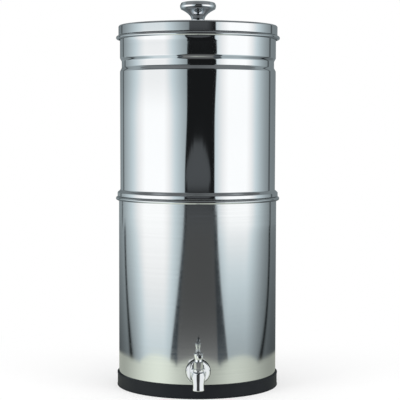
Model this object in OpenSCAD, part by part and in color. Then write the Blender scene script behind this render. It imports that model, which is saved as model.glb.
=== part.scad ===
// Gravity water filter: two stacked steel chambers, a lid with a knob, two filter candles and a lever tap.
// Frame: +Z up, Z = 0 on the table, the chambers' axis on X = Y = 0, the tap faces -Y. Millimetres.

/* [Lower chamber] */
// Outer radius of the lower chamber
lower_r = 108.8; // [95:0.1:130]
// Height of the lower chamber's rim above the table
lower_top = 262; // [218:0.5:315]
// Radius of the rounded edge at a chamber's foot
foot_round = 6; // [4:0.5:8]
// Height by which the floor's middle is pressed up
floor_rise = 5; // [3:0.5:8]
// Width of the flat foot ring that the chamber stands on
foot_w = 9; // [6:0.5:14]

/* [Upper chamber] */
// Height from the lower rim to the upper rim
upper_h = 220; // [185:0.5:270]
// How much smaller the upper chamber's radius is than the lower one's, at its top
upper_less = 1.5; // [0.5:0.1:4]
// How much the upper chamber's radius shrinks from its top to its bead
upper_taper = 0.4; // [0:0.1:2]
// Depth of the part that stands inside the lower chamber
nest_depth = 15.5; // [12:0.5:25]
// Gap on the radius between that part and the lower chamber
nest_gap = 1.4; // [0.8:0.1:3]
// Height of the stacking bead
bead_h = 10.2; // [8:0.2:14]
// How far the stacking bead stands out from the wall
bead_out = 3.9; // [3:0.1:5]

/* [Sheet and rims] */
// Sheet thickness of the chambers
sheet = 1; // [0.6:0.1:1.2]
// Radius of the rolled rims' section
roll_r = 2.6; // [2.2:0.1:3.4]
// How far the upper chamber flares just under its rim
rim_flare = 1.1; // [0.6:0.1:1.6]
// Gap left between a rim and what rests on it
seat_gap = 0.3; // [0.2:0.05:0.5]

/* [Groove band] */
// Distance from the upper rim down to the middle of the groove band
groove_down = 39.4; // [30:0.1:60]
// Width of the flat bottom of the groove
groove_flat = 6.8; // [4:0.1:14]
// Height of each sloping side of the groove
groove_side = 6.5; // [4:0.1:10]
// Depth of the groove
groove_deep = 2.4; // [1.5:0.1:3.5]

/* [Lid] */
// Height of the lid's side above the rim
lid_h = 13.8; // [9:0.1:20]
// How far the lid's side lies inside the rim's outer edge
lid_inset = 3.3; // [2.4:0.1:3.6]
// Sheet thickness of the lid
lid_sheet = 0.8; // [0.6:0.1:1]
// Radius of the lid's top edge
lid_round = 2.4; // [1.6:0.1:4]
// Depth of the skirt that plugs into the chamber
skirt_h = 9; // [6:0.5:14]
// Gap on the radius between the skirt and the chamber
skirt_gap = 0.7; // [0.5:0.1:1.5]
// Height of the lid's raised middle
crown_h = 1.8; // [1:0.1:3]
// Width of the flat border round the raised middle
border_w = 19; // [12:1:30]

/* [Knob] */
// Radius of the knob's cap
knob_r = 24.8; // [18:0.1:30]
// Height of the knob
knob_h = 33.5; // [26:0.1:40]
// Radius of the knob's neck
neck_r = 8.8; // [7:0.1:10]
// Radius of the knob's foot
knob_foot_r = 10.5; // [8:0.1:14]
// Radius of the knob's screw
knob_screw_r = 2.5; // [2:0.1:3]

/* [Base ring] */
// Height of the rubber ring
ring_h = 18.4; // [14:0.1:20]
// Thickness of the rubber round the chamber
ring_wall = 2; // [1.2:0.1:4]
// How far the lips stand out at the ring's edges
ring_lip = 0.4; // [0.2:0.05:1]
// Thickness of the rubber under the chamber
ring_under = 3.5; // [2:0.1:6]

/* [Filter elements] */
// Distance of each candle from the chambers' axis
candle_x = 50; // [42:1:60]
// Radius of the ceramic candle
candle_r = 25; // [20:0.5:30]
// Height of the ceramic candle
candle_h = 172; // [100:1:178]
// Thickness of the ceramic
candle_wall = 7; // [4:0.5:9]
// Height of the candle's cup
cup_h = 12; // [9:0.5:20]
// Radius of the threaded stem
stem_r = 5.9; // [5:0.1:7]
// Radius of the water way in the stem
stem_bore = 2.5; // [1.5:0.1:3]
// Length of the stem below the chamber's floor
stem_below = 24; // [20:1:32]
// Thickness of the rubber washer under the cup
candle_seal_t = 2; // [1.5:0.1:4]
// Radius of the wing nut's hub
wing_hub_r = 9.5; // [8.5:0.1:12]
// Reach of the wings from the stem's axis
wing_reach = 20; // [16:0.5:26]

/* [Tap body] */
// Height of the tap's shank above the table
tap_z = 37; // [36:0.5:60]
// Distance of the spout's axis from the chamber's wall
spout_reach = 40; // [32:0.5:60]
// Radius of the threaded shank
shank_r = 7.9; // [7:0.1:9]
// Gap on the radius round the shank
shank_gap = 0.3; // [0.2:0.05:0.6]
// Radius of the body behind the elbow
barrel_r = 10.5; // [9.6:0.1:12]
// Radius of the elbow
elbow_r = 9.2; // [8.6:0.1:10]
// Radius of the spout at its root
spout_root_r = 8.1; // [7.6:0.1:8.6]
// Radius of the spout at its end
spout_end_r = 7.5; // [7:0.1:7.6]
// Radius of the spout just above its lip
spout_waist_r = 7; // [6.7:0.1:7.4]
// Height of the spout's end above the table
outlet_z = 19; // [16:0.5:21]
// Radius of the spout's bore
spout_bore = 4.2; // [3.6:0.1:4.4]
// Radius of the flange on the wall
flange_r = 15.8; // [13:0.1:17]
// Thickness of the flange's edge
flange_edge = 1.8; // [1.2:0.1:2.6]
// Thickness of the flange at its middle
flange_mid = 3.6; // [2.8:0.1:5]
// Thickness of the rubber gaskets
gasket_t = 2; // [1.2:0.1:3]

/* [Tap plug and lever] */
// Radius of the plug
plug_r = 4.8; // [4.6:0.05:4.9]
// Gap on the radius between the plug and its bore
plug_gap = 0.08; // [0.04:0.01:0.1]
// Radius of the plug's port
port_r = 2.7; // [2:0.1:2.8]
// Radius of the plug's shaft
shaft_r = 3; // [2.8:0.1:3.2]
// Gap on the radius between the shaft and its bores
shaft_gap = 0.2; // [0.15:0.05:0.3]
// Radius of the bonnet over its corners
bonnet_r = 6; // [5.9:0.1:6.4]
// Height of the bonnet's hexagon
bonnet_h = 9.5; // [5:0.1:12]
// Radius of the lever's head at its top
hub_r = 6; // [5.4:0.1:7.5]
// Height of the lever's head
hub_h = 11.2; // [10:0.1:15]
// Distance of the lever's tip from the plug's axis
lever_l = 29; // [20:0.5:50]
// Radius of the lever at its root
lever_root_r = 2.6; // [2:0.1:3]
// Radius of the lever at its tip
lever_tip_r = 3.75; // [3:0.05:4.5]
// Angle of the closed lever from straight ahead
lever_set = 3; // [0:1:10]

/* [Hidden] */
$fn = 96;

steel = [0.77, 0.78, 0.79];
chrome = [0.86, 0.87, 0.89];
rubber = [0.09, 0.09, 0.11];
ceramic = [0.93, 0.91, 0.86];
carbon = [0.16, 0.16, 0.17];
plastic = [0.9, 0.9, 0.88];

corner_steps = 4;    // segments in a quarter of a rounded edge
roll_steps = 8;      // segments in the section of a rolled rim
ease_steps = 4;      // segments in a soft slope
turned_steps = 12;   // segments in a solid turning's long curve
thread_gap = 0.1;    // gap on the radius between a thread and its hole
overrun = 1;         // how far a cutting tool passes the face it starts from

// Lower chamber
floor_z = ring_under;                        // underside of the foot ring
lower_in = lower_r - sheet;
lower_roll = [lower_in + roll_r, lower_top - roll_r];
curl_end = -110;                             // angle at which a rolled rim's edge stops

// Upper chamber
upper_top = lower_top + upper_h;
upper_r = lower_r - upper_less;              // at the top
bead_z = lower_top + seat_gap;               // underside of the stacking bead
bead_top = bead_z + bead_h;
wall_r_low = upper_r - upper_taper;          // at the bead
nest_r = lower_in - nest_gap;
nest_z = lower_top - nest_depth;             // underside of the upper floor
upper_floor = nest_z + sheet;                // top of the upper floor
upper_roll = [upper_r - sheet + rim_flare + roll_r, upper_top - roll_r];
flare_z = upper_roll[1] - 5;                 // where the wall starts to flare
rim_out = upper_roll[0] + roll_r;
groove_z = upper_top - groove_down;
stem_hole_r = stem_r + 0.6;

// Lid
lid_z = upper_top + seat_gap;                // underside of the lid's step
lid_r = rim_out - lid_inset;
lid_top = lid_z + lid_h;
skirt_r = upper_r - sheet - skirt_gap;
crown_z = lid_top + crown_h;
knob_washer_r = 9;
knob_washer_t = 1.2;
knob_thread = 10;                            // depth of the knob's threaded hole

// Filter elements, heights from the upper floor
cup_z = upper_floor + candle_seal_t;
cup_floor = 4;
cup_wall = 2.2;
cup_gap = 0.3;
cup_r = candle_r + cup_gap + cup_wall;
candle_z = cup_z + cup_floor;
core_r = candle_r - candle_wall - cup_gap;
wing_nut_h = 12;
wing_t = 4;

// Tap, distances out from the chambers' axis
gasket_out = lower_r + gasket_t;             // flange's back face
barrel_out = gasket_out + flange_mid;        // body's shoulder
barrel_l = 9;                                // length of the wide part of the body
spout_out = lower_r + spout_reach;
inner_face = lower_in - 1.2 - gasket_t;      // flat face of the inner gasket
tap_washer_t = 1.5;
tap_nut_t = 7;
tap_nut_r = 13.6;                            // over its corners
shank_in = inner_face - tap_washer_t - tap_nut_t - 3.5;
way_r = 3.8;                                 // water way in the shank
outer_seal_r = flange_r + 0.7;
inner_seal_r = 14;

// Tap, heights
seat_z = tap_z - 9;                          // ledge under the plug
plug_z = seat_z + seat_gap;
plug_top = tap_z + 5;
packing_t = 1;
packing_gap = 0.1;
spigot_z = plug_top + packing_t + 2 * packing_gap;  // underside of the bonnet's spigot
neck_r_tap = plug_r + 1.7;
neck_top = tap_z + elbow_r + 0.6;
spigot_r = plug_r + 0.2;
bonnet_top = neck_top + bonnet_h;
hub_z = bonnet_top + seat_gap;
hub_top = hub_z + hub_h;
drive = 4.4;                                 // side of the square drive
drive_gap = 0.1;
drive_top = hub_top - 3;
lever_z = hub_z + 7;
lever_seat = 3;                              // distance of the lever's thread from the axis
lever_root = 0.8 * hub_r;                    // distance of the lever's shoulder from the axis
lever_thread_r = 1.7;
ring_section = 0.6;                          // radius of the O-rings' section
ring_c = plug_r - ring_section;              // radius of the O-rings' middle line
ring_gap = 0.1;                              // gap round an O-ring in its groove
side_port_r = port_r - 0.2;
ring_heights = [tap_z - side_port_r - 1.7, tap_z + side_port_r + 1.2];
dish = 0.7;                                  // depth of the dish round the cap screw
cap_r = 3.3;
cap_h = 1.8;
cap_thread_r = 1.4;
cap_thread = 5;

// Points on an arc about c, from angle a0 to a1
function arc(c, r, a0, a1, n = corner_steps) =
    [for (i = [0:n]) let (a = a0 + (a1 - a0) * i / n) c + r * [cos(a), sin(a)]];

// Points on a soft S-shaped slope from p to q, upright at both ends
function ease(p, q, n = ease_steps) =
    [for (i = [0:n]) let (u = i / n, s = (1 - cos(180 * u)) / 2)
        [p[0] + (q[0] - p[0]) * s, p[1] + (q[1] - p[1]) * u]];

function back(points) = [for (i = [len(points) - 1:-1:0]) points[i]];

// Radius of the upper chamber's wall at height z, before the groove
function wall_r(z) = wall_r_low + upper_taper * (z - bead_top) / (flare_z - bead_top);

// Outer face of the upper chamber's wall, upwards, moved in by d
function upper_wall(d) =
    let (lo = groove_z - groove_flat / 2,
         hi = groove_z + groove_flat / 2,
         lo0 = lo - groove_side,
         hi1 = hi + groove_side)
    concat(
        ease([wall_r(lo0) - d, lo0], [wall_r(lo) - groove_deep - d, lo]),
        ease([wall_r(hi) - groove_deep - d, hi], [wall_r(hi1) - d, hi1]),
        [[upper_r - d, flare_z]]);

// Rolled rim about c: its outside from the wall over the top to the edge, and back inside
function curl(c) = concat(
    arc(c, roll_r, 180, curl_end, roll_steps),
    arc(c, roll_r - sheet, curl_end, 180, roll_steps));

module lathe(points) {
    rotate_extrude() polygon(points);
}

// Puts what points up at the tap's height, pointing out of the chamber's front
module along_front(out = 0) {
    translate([0, 0, tap_z]) rotate([90, 0, 0]) translate([0, 0, out]) children();
}

// Puts children on the plug's vertical axis
module on_plug_axis() {
    translate([0, -spout_out, 0]) children();
}

// As on_plug_axis, turned to where the closed lever stands
module turned() {
    on_plug_axis() rotate([0, 0, lever_set]) children();
}

// ---- lid ----

module lid() {
    panel_r = lid_r - border_w;
    step = 4;
    side_in = lid_r - lid_sheet;
    edge = [lid_r - lid_round, lid_top - lid_round];
    hem = 1;
    hem_c = [lid_r - hem, lid_z + hem];
    color(steel) lathe(concat(
        [[knob_screw_r + 0.2, crown_z], [panel_r - step, crown_z], [panel_r, lid_top]],
        arc(edge, lid_round, 90, 0),
        arc(hem_c, hem, 0, -90),
        [[skirt_r, lid_z], [skirt_r, lid_z - skirt_h], [skirt_r - lid_sheet, lid_z - skirt_h],
         [skirt_r - lid_sheet, lid_z + lid_sheet], [side_in - 0.2, lid_z + lid_sheet],
         [side_in, lid_z + lid_sheet + 0.2]],
        arc(edge, lid_round - lid_sheet, 0, 90),
        [[panel_r - 0.3, lid_top - lid_sheet], [panel_r - step - 0.3, crown_z - lid_sheet],
         [knob_screw_r + 0.2, crown_z - lid_sheet]]));
}

module lid_knob() {
    flare_from = 0.16 * knob_h;           // the foot's fillet ends and the trumpet starts
    flare_to = 0.63 * knob_h;             // underside of the cap's edge
    wide_z = 0.81 * knob_h;               // widest place of the cap
    under_r = 0.9 * knob_r;
    flare_power = 2.2;
    dome_r = 0.95 * knob_r;
    dome_z = 0.9 * knob_h;
    flare = [for (i = [0:turned_steps]) let (u = i / turned_steps)
        [neck_r + (under_r - neck_r) * pow(u, flare_power), flare_from + (flare_to - flare_from) * u]];
    foot = [for (i = [0:ease_steps - 1]) let (u = i / ease_steps)
        [knob_foot_r - (knob_foot_r - neck_r) * sin(90 * u), flare_from * (1 - cos(90 * u))]];
    edge_low = [for (i = [1:ease_steps]) let (a = 90 * i / ease_steps)
        [under_r + (knob_r - under_r) * sin(a), wide_z - (wide_z - flare_to) * cos(a)]];
    dome = [for (i = [1:turned_steps]) let (a = 90 * i / turned_steps)
        [dome_r * cos(a), dome_z + (knob_h - dome_z) * sin(a)]];
    color(chrome) translate([0, 0, crown_z]) difference() {
        lathe(concat([[0, 0]], foot, flare, edge_low, dome));
        translate([0, 0, -overrun]) cylinder(r = knob_screw_r + thread_gap, h = knob_thread + overrun);
    }
}

module knob_washer() {
    color(steel) translate([0, 0, crown_z - lid_sheet - knob_washer_t]) difference() {
        cylinder(r = knob_washer_r, h = knob_washer_t);
        translate([0, 0, -overrun]) cylinder(r = knob_screw_r + 0.2, h = knob_washer_t + 2 * overrun);
    }
}

module knob_screw() {
    head_h = 3;
    head_r = 2 * knob_screw_r;
    slot_w = 1.2;
    color(steel) translate([0, 0, crown_z - lid_sheet - knob_washer_t]) {
        cylinder(r = knob_screw_r, h = lid_sheet + knob_washer_t + knob_thread - 1.5);
        difference() {
            translate([0, 0, -head_h]) lathe(concat(
                [[0, 0], [head_r - 1.6, 0]],
                arc([head_r - 1.6, 1.6], 1.6, -90, 0),
                [[head_r, head_h], [0, head_h]]));
            for (a = [0, 90])
                rotate([0, 0, a]) translate([-0.7 * head_r, -slot_w / 2, -head_h - overrun])
                    cube([1.4 * head_r, slot_w, 1.4 + overrun]);
        }
    }
}

// ---- upper chamber ----

module upper_chamber() {
    soft = 1;                              // rounding of the bead's corners, outside
    low_r = nest_r - foot_round;
    side = 5;                              // height of the bead's slope
    bead_r = wall_r_low + bead_out;
    nest_c = [low_r, nest_z + foot_round];
    bead_c = [bead_r - soft, bead_z + soft];
    color(steel) difference() {
        lathe(concat(
            [[0, upper_floor]],
            arc(nest_c, foot_round - sheet, -90, 0),
            [[nest_r - sheet, bead_z + sheet], [bead_r - sheet, bead_z + sheet],
             [bead_r - sheet, bead_top - side]],
            ease([bead_r - sheet, bead_top - side], [wall_r_low - sheet, bead_top]),
            upper_wall(sheet),
            curl(upper_roll),
            back(upper_wall(0)),
            back(ease([bead_r, bead_top - side - 0.5], [wall_r_low, bead_top - 0.5])),
            arc(bead_c, soft, 0, -90),
            arc([nest_r + soft, bead_z - soft], soft, 90, 180),
            back(arc(nest_c, foot_round, -90, 0)),
            [[0, nest_z]]));
        for (s = [-1, 1])
            translate([s * candle_x, 0, nest_z - overrun]) cylinder(r = stem_hole_r, h = sheet + 2 * overrun);
    }
}

// ---- filter elements ----

// Profile of a closed dome of radius r and height h
function dome_profile(r, h) = concat([[0, 0], [r, 0]], arc([0, h - r], r, 0, 90, turned_steps));

module ceramic_candle(s) {
    color(ceramic) translate([s * candle_x, 0, candle_z]) difference() {
        lathe(dome_profile(candle_r, candle_h));
        translate([0, 0, -overrun])
            lathe(dome_profile(candle_r - candle_wall, candle_h - candle_wall + overrun));
    }
}

module carbon_core(s) {
    color(carbon) translate([s * candle_x, 0, candle_z])
        lathe(dome_profile(core_r, candle_h - candle_wall - cup_gap));
}

module candle_base(s) {
    boss_r = wing_hub_r;
    foot = 1.5;
    color(plastic) translate([s * candle_x, 0, cup_z]) difference() {
        union() {
            lathe(concat(
                [[0, 0], [cup_r - foot, 0]],
                arc([cup_r - foot, foot], foot, -90, 0),
                arc([cup_r - 1, cup_h - 1], 1, 0, 90),
                [[candle_r + cup_gap, cup_h], [candle_r + cup_gap, cup_floor], [0, cup_floor]]));
            translate([0, 0, -candle_seal_t - sheet - stem_below])
                cylinder(r = stem_r, h = candle_seal_t + sheet + stem_below + overrun);
        }
        translate([0, 0, -candle_seal_t - sheet - stem_below - overrun])
            cylinder(r = stem_bore, h = candle_seal_t + sheet + stem_below + cup_floor + 2 * overrun);
    }
}

module candle_seal(s) {
    color(rubber) translate([s * candle_x, 0, upper_floor]) difference() {
        cylinder(r = 0.62 * cup_r, h = candle_seal_t);
        translate([0, 0, -overrun]) cylinder(r = stem_r + thread_gap, h = candle_seal_t + 2 * overrun);
    }
}

module wing_nut(s) {
    ear = 4;
    flat = 0.55 * wing_nut_h;
    color(plastic) translate([s * candle_x, 0, nest_z - wing_nut_h]) difference() {
        union() {
            lathe([[0, 0], [wing_hub_r - 1.5, 0], [wing_hub_r, 1.5], [wing_hub_r, wing_nut_h], [0, wing_nut_h]]);
            rotate([90, 0, 0]) translate([0, 0, -wing_t / 2]) linear_extrude(wing_t)
                for (m = [0, 1])
                    mirror([m, 0]) polygon(concat(
                        [[0, 2], [wing_reach - ear, -2]],
                        arc([wing_reach - ear, -2 + ear], ear, -90, 90, 2 * corner_steps),
                        [[wing_hub_r, flat + 2], [0, flat + 2]]));
        }
        translate([0, 0, -overrun]) cylinder(r = stem_r + thread_gap, h = wing_nut_h + 2 * overrun);
    }
}

// ---- lower chamber ----

module lower_chamber() {
    foot_c = [lower_r - foot_round, floor_z + foot_round];
    ring_in = lower_r - foot_round - foot_w;
    rise_in = ring_in - floor_rise;
    color(steel) difference() {
        lathe(concat(
            [[0, floor_z + floor_rise], [rise_in, floor_z + floor_rise], [ring_in, floor_z]],
            arc(foot_c, foot_round, -90, 0),
            back(curl(lower_roll)),
            back(arc(foot_c, foot_round - sheet, -90, 0)),
            [[ring_in - 0.4, floor_z + sheet], [rise_in - 0.4, floor_z + floor_rise + sheet],
             [0, floor_z + floor_rise + sheet]]));
        along_front(lower_r - 10) cylinder(r = shank_r + shank_gap, h = 20);
    }
}

module base_ring() {
    r = lower_r + 0.05;
    out = r + ring_wall;
    lip = out + ring_lip;
    lip_h = 1.6;
    in_r = lower_r - foot_round - foot_w - 1;
    fillet = [r - foot_round, ring_under + foot_round];
    color(rubber) lathe(concat(
        [[in_r, 0], [lip - 0.5, 0], [lip, 0.5], [lip, lip_h], [out, lip_h + ring_lip],
         [out, ring_h - lip_h - ring_lip], [lip, ring_h - lip_h], [lip, ring_h - 0.4], [lip - 0.4, ring_h],
         [r, ring_h]],
        back(arc(fillet, foot_round, -90, 0)),
        [[in_r, ring_under]]));
}

// ---- tap, fixed pieces ----

module tap_body() {
    lip = 1;
    waist_z = outlet_z + 6;
    taper_to = barrel_out + barrel_l + 5;
    nose = 0.7;            // how far past the spout's axis the elbow's round end starts
    nose_angle = 84;       // angle at which the round end turns into a small flat
    shank_seam = 20;       // the two turnings' seams are kept apart, where they cross
    spout_seam = 35;
    color(chrome) difference() {
        union() {
            // shank, shoulder and elbow, one turning about the shank's axis
            along_front() rotate([0, 0, shank_seam]) lathe(concat(
                [[0, shank_in], [shank_r - 0.8, shank_in], [shank_r, shank_in + 0.8], [shank_r, barrel_out],
                 [barrel_r, barrel_out], [barrel_r, barrel_out + barrel_l]],
                ease([barrel_r, barrel_out + barrel_l], [elbow_r, taper_to]),
                arc([0, spout_out + nose], elbow_r, 0, nose_angle, turned_steps),
                [[0, spout_out + nose + elbow_r * sin(nose_angle)]]));
            // spout and neck, one turning about the plug's axis
            on_plug_axis() rotate([0, 0, spout_seam]) lathe(concat(
                [[0, outlet_z], [spout_end_r - lip, outlet_z]],
                arc([spout_end_r - lip, outlet_z + lip], lip, -90, 0),
                ease([spout_end_r, outlet_z + 2], [spout_waist_r, waist_z]),
                [[spout_root_r, tap_z - 2], [neck_r_tap, tap_z + 2], [neck_r_tap, neck_top - 0.6],
                 [neck_r_tap - 0.6, neck_top], [0, neck_top]]));
        }
        along_front(shank_in - overrun) cylinder(r = way_r, h = spout_out - shank_in + overrun);
        on_plug_axis() {
            translate([0, 0, outlet_z - overrun]) cylinder(r = spout_bore, h = seat_z - outlet_z + 2 * overrun);
            translate([0, 0, seat_z]) cylinder(r = plug_r + plug_gap, h = neck_top - seat_z);
            translate([0, 0, spigot_z]) cylinder(r = spigot_r + thread_gap, h = neck_top - spigot_z + overrun);
        }
    }
}

module tap_escutcheon() {
    soft = 0.8;
    color(chrome) along_front(gasket_out) difference() {
        lathe(concat(
            [[0, 0], [flange_r - soft, 0]],
            arc([flange_r - soft, soft], soft, -90, 0, 4),
            arc([flange_r - soft, flange_edge - soft], soft, 0, 70, 4),
            [[flange_r - 2.4, flange_edge + 0.7], [barrel_r + 0.8, flange_mid - 0.2],
             [barrel_r, flange_mid], [0, flange_mid]]));
        translate([0, 0, -overrun]) cylinder(r = shank_r + shank_gap, h = flange_mid + 2 * overrun);
    }
}

module tap_outer_seal() {
    color(rubber) difference() {
        along_front(lower_r - 4) cylinder(r = outer_seal_r, h = gasket_t + 4);
        along_front(lower_r - 5) cylinder(r = shank_r + shank_gap, h = gasket_t + 6);
        translate([0, 0, tap_z - 2 * outer_seal_r]) cylinder(r = lower_r + 0.02, h = 4 * outer_seal_r, $fn = 192);
    }
}

module tap_inner_seal() {
    color(rubber) intersection() {
        difference() {
            along_front(inner_face) cylinder(r = inner_seal_r, h = 8);
            along_front(inner_face - overrun) cylinder(r = shank_r + shank_gap, h = 8 + 2 * overrun);
        }
        translate([0, 0, tap_z - 2 * inner_seal_r]) cylinder(r = lower_in - 0.02, h = 4 * inner_seal_r, $fn = 192);
    }
}

module tap_washer() {
    color(steel) along_front(inner_face - tap_washer_t) difference() {
        cylinder(r = inner_seal_r, h = tap_washer_t);
        translate([0, 0, -overrun]) cylinder(r = shank_r + shank_gap, h = tap_washer_t + 2 * overrun);
    }
}

module tap_nut() {
    chamfer = 1;
    color(steel) along_front(inner_face - tap_washer_t - tap_nut_t) difference() {
        intersection() {
            cylinder(r = tap_nut_r, h = tap_nut_t, $fn = 6);
            lathe([[0, 0], [tap_nut_r - chamfer, 0], [tap_nut_r + 0.4, chamfer], [tap_nut_r + 0.4, tap_nut_t],
                   [0, tap_nut_t]]);
        }
        translate([0, 0, -overrun]) cylinder(r = shank_r + thread_gap, h = tap_nut_t + 2 * overrun);
    }
}

module tap_bonnet() {
    chamfer = 0.8;
    color(chrome) on_plug_axis() difference() {
        union() {
            translate([0, 0, spigot_z]) cylinder(r = spigot_r, h = neck_top - spigot_z + overrun);
            intersection() {
                translate([0, 0, neck_top]) cylinder(r = bonnet_r, h = bonnet_h, $fn = 6);
                translate([0, 0, neck_top]) lathe([
                    [0, 0], [bonnet_r + 0.4, 0], [bonnet_r + 0.4, bonnet_h - chamfer],
                    [bonnet_r - chamfer, bonnet_h], [0, bonnet_h]]);
            }
        }
        translate([0, 0, spigot_z - overrun]) cylinder(r = shaft_r + shaft_gap, h = bonnet_top - spigot_z + 2 * overrun);
    }
}

module stem_packing() {
    color(plastic) on_plug_axis() translate([0, 0, plug_top + packing_gap]) difference() {
        cylinder(r = plug_r - 0.05, h = packing_t);
        translate([0, 0, -overrun]) cylinder(r = shaft_r + shaft_gap, h = packing_t + 2 * overrun);
    }
}

// ---- tap, turning pieces ----

module tap_stem() {
    color(chrome) turned() difference() {
        union() {
            translate([0, 0, plug_z]) cylinder(r = plug_r, h = plug_top - plug_z);
            translate([0, 0, plug_top - overrun]) cylinder(r = shaft_r, h = hub_z - plug_top + overrun);
            translate([-drive / 2, -drive / 2, hub_z - overrun]) cube([drive, drive, drive_top - hub_z + overrun]);
        }
        // outlet in the plug's underside, up to just over the port
        translate([0, 0, plug_z - overrun]) cylinder(r = port_r, h = tap_z - plug_z + overrun);
        // port that faces sideways when the tap is closed
        translate([0, 0, tap_z]) rotate([0, 90, 0]) cylinder(r = side_port_r, h = plug_r + overrun);
        for (z = ring_heights)
            translate([0, 0, z - ring_section - ring_gap]) difference() {
                cylinder(r = plug_r + overrun, h = 2 * (ring_section + ring_gap));
                cylinder(r = ring_c - ring_section - ring_gap, h = 2 * (ring_section + ring_gap));
            }
        translate([0, 0, drive_top - cap_thread]) cylinder(r = cap_thread_r + thread_gap, h = cap_thread + overrun);
    }
}

module stem_rings() {
    color(rubber) turned() for (z = ring_heights)
        translate([0, 0, z]) rotate_extrude() translate([ring_c, 0]) circle(r = ring_section, $fn = 24);
}

module lever_hub() {
    foot = 0.82 * hub_r;
    waist = 0.76 * hub_r;
    color(chrome) turned() difference() {
        translate([0, 0, hub_z]) lathe(concat(
            [[0, 0], [foot, 0], [foot, 1.2]],
            ease([waist, 2.4], [hub_r, hub_h - 1.6]),
            arc([hub_r - 0.8, hub_h - 0.8], 0.8, 0, 90, 4),
            [[cap_r + 0.6, hub_h], [cap_r + 0.3, hub_h - dish], [0, hub_h - dish]]));
        translate([-drive / 2 - drive_gap, -drive / 2 - drive_gap, hub_z - overrun])
            cube([drive + 2 * drive_gap, drive + 2 * drive_gap, drive_top - hub_z + overrun + drive_gap]);
        translate([0, 0, drive_top]) cylinder(r = cap_thread_r + 0.2, h = hub_top - drive_top + overrun);
        translate([0, 0, lever_z]) rotate([90, 0, 0]) {
            translate([0, 0, lever_seat]) cylinder(r = lever_thread_r + thread_gap, h = hub_r);
            translate([0, 0, lever_root]) cylinder(r = lever_root_r + 0.2, h = hub_r);
        }
    }
}

module lever_arm() {
    tip_round = 1.6;
    dimple_r = 1.3;
    thread_z = lever_seat + 0.2;
    color(chrome) turned() translate([0, 0, lever_z]) rotate([90, 0, 0])
        lathe(concat(
            [[0, thread_z], [lever_thread_r, thread_z], [lever_thread_r, lever_root], [lever_root_r, lever_root]],
            ease([lever_root_r, lever_root + 3], [lever_tip_r, lever_l - 2 * tip_round]),
            arc([lever_tip_r - tip_round, lever_l - tip_round], tip_round, 0, 80),
            [[dimple_r, lever_l], [0, lever_l - 1.2]]));
}

module lever_screw() {
    slot_w = 0.8;
    shank_l = hub_top - dish - drive_top + cap_thread - 0.5;
    color(chrome) turned() translate([0, 0, hub_top - dish]) {
        translate([0, 0, -shank_l]) cylinder(r = cap_thread_r, h = shank_l + 0.5);
        difference() {
            lathe(concat(
                [[0, 0], [cap_r, 0], [cap_r, 0.6]],
                [for (i = [1:corner_steps]) let (a = 90 * i / corner_steps)
                    [cap_r * cos(a), 0.6 + (cap_h - 0.6) * sin(a)]]));
            translate([-cap_r - overrun, -slot_w / 2, cap_h - 0.8]) cube([2 * cap_r + 2 * overrun, slot_w, 2]);
        }
    }
}

lid();
lid_knob();
knob_washer();
knob_screw();
upper_chamber();
ceramic_candle(-1);  // ceramic_candle_left
carbon_core(-1);  // carbon_core_left
candle_base(-1);  // candle_base_left
candle_seal(-1);  // candle_seal_left
wing_nut(-1);  // wing_nut_left
ceramic_candle(1);  // ceramic_candle_right
carbon_core(1);  // carbon_core_right
candle_base(1);  // candle_base_right
candle_seal(1);  // candle_seal_right
wing_nut(1);  // wing_nut_right
lower_chamber();
base_ring();
tap_body();
tap_escutcheon();
tap_outer_seal();
tap_inner_seal();
tap_washer();
tap_nut();
tap_bonnet();
stem_packing();
tap_stem();
stem_rings();
lever_hub();
lever_arm();
lever_screw();
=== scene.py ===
import math

import bmesh
import bpy
import numpy as np
from mathutils import Matrix, Vector


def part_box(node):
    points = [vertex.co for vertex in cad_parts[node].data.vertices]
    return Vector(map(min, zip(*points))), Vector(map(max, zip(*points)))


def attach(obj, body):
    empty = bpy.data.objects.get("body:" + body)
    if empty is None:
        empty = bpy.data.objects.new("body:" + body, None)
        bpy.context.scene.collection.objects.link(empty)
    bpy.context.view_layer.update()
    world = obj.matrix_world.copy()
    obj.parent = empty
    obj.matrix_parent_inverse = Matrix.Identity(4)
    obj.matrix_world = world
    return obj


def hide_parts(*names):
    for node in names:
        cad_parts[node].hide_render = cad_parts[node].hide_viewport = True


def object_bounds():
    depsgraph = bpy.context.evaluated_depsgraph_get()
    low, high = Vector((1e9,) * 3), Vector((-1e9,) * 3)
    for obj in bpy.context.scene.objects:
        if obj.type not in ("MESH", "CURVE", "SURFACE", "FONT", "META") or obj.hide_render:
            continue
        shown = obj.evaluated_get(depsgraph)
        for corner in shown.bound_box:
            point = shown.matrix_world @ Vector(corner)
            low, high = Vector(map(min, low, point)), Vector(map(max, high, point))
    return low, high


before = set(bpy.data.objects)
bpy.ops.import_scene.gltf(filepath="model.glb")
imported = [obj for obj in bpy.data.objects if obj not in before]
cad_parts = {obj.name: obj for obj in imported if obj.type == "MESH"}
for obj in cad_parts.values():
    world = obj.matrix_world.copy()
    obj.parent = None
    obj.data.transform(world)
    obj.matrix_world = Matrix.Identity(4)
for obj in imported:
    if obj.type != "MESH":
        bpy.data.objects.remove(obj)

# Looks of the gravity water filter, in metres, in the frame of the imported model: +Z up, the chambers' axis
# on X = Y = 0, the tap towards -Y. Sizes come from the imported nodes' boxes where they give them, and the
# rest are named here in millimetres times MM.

cad_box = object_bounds()
MM = 0.001
TURN = 288                  # steps round a large turning
FINE = 96                   # steps round a small one


# ---- outlines: lists of (radius, height) ----

def arc(centre, radius, start, end, steps=12):
    """Points on an arc about centre, from angle start to end in degrees."""
    angles = np.radians(np.linspace(start, end, steps + 1))
    return [(centre[0] + radius * math.cos(a), centre[1] + radius * math.sin(a)) for a in angles]


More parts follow.
